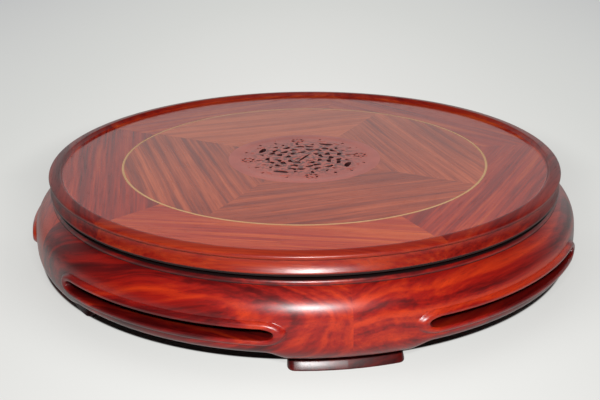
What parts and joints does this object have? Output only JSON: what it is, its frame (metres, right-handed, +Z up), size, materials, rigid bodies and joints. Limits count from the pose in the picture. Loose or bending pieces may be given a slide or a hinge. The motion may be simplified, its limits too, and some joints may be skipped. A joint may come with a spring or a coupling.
{
  "type": "turntable stand",
  "caption": "Low round hardwood stand with a lipped turntable top, brass line inlay and pierced medallion, on a bellied base with slots and pad feet.",
  "frame": {"origin": "on the turning axis, in the plane of the foot pads", "axes": "+Z up along the turning axis, -Y through the middle of a foot, +Y through the middle of the slot across from it"},
  "size_m": [0.3244, 0.3222, 0.0629],
  "materials": {
    "base_wood": "glossy lacquer",
    "frame_wood": "glossy lacquer",
    "panel_wood": "glossy lacquer",
    "carved_wood": "satin lacquer",
    "inner_wood": "raw",
    "brass": "polished",
    "ring_metal": "turned",
    "ball_steel": "polished",
    "screw_steel": "zinc plated",
    "cage_plastic": "moulded"
  },
  "bodies": {
    "base": {"base_segment_1": "base_wood", "base_segment_2": "base_wood", "base_segment_3": "base_wood", "base_segment_4": "base_wood", "base_segment_5": "base_wood", "base_tenons": "inner_wood", "deck_board": "inner_wood", "deck_screws": "screw_steel", "bearing_base_ring": "ring_metal", "bearing_base_screws": "screw_steel"},
    "top": {"frame_segment_1": "frame_wood", "frame_segment_2": "frame_wood", "frame_segment_3": "frame_wood", "frame_segment_4": "frame_wood", "frame_segment_5": "frame_wood", "frame_tenons": "inner_wood", "panel_sector_1": "panel_wood", "panel_sector_2": "panel_wood", "panel_sector_3": "panel_wood", "panel_sector_4": "panel_wood", "brass_line": "brass", "carved_medallion": "carved_wood", "core_board": "inner_wood", "bearing_top_ring": "ring_metal", "bearing_top_screws": "screw_steel"},
    "ball_ring": {"ball_cage": "cage_plastic", "bearing_balls": "ball_steel"}
  },
  "joints": [
    {"name": "top_spin", "type": "hinge", "parent": "base", "child": "top", "pos_m": [0, 0, 0.0469], "axis": [0, 0, 1], "continuous": true},
    {"name": "cage_spin", "type": "hinge", "parent": "base", "child": "ball_ring", "pos_m": [0, 0, 0.0469], "axis": [0, 0, 1], "continuous": true}
  ],
  "couplings": [
    {"joint": "cage_spin", "follows": "top_spin", "ratio": 0.5}
  ]
}
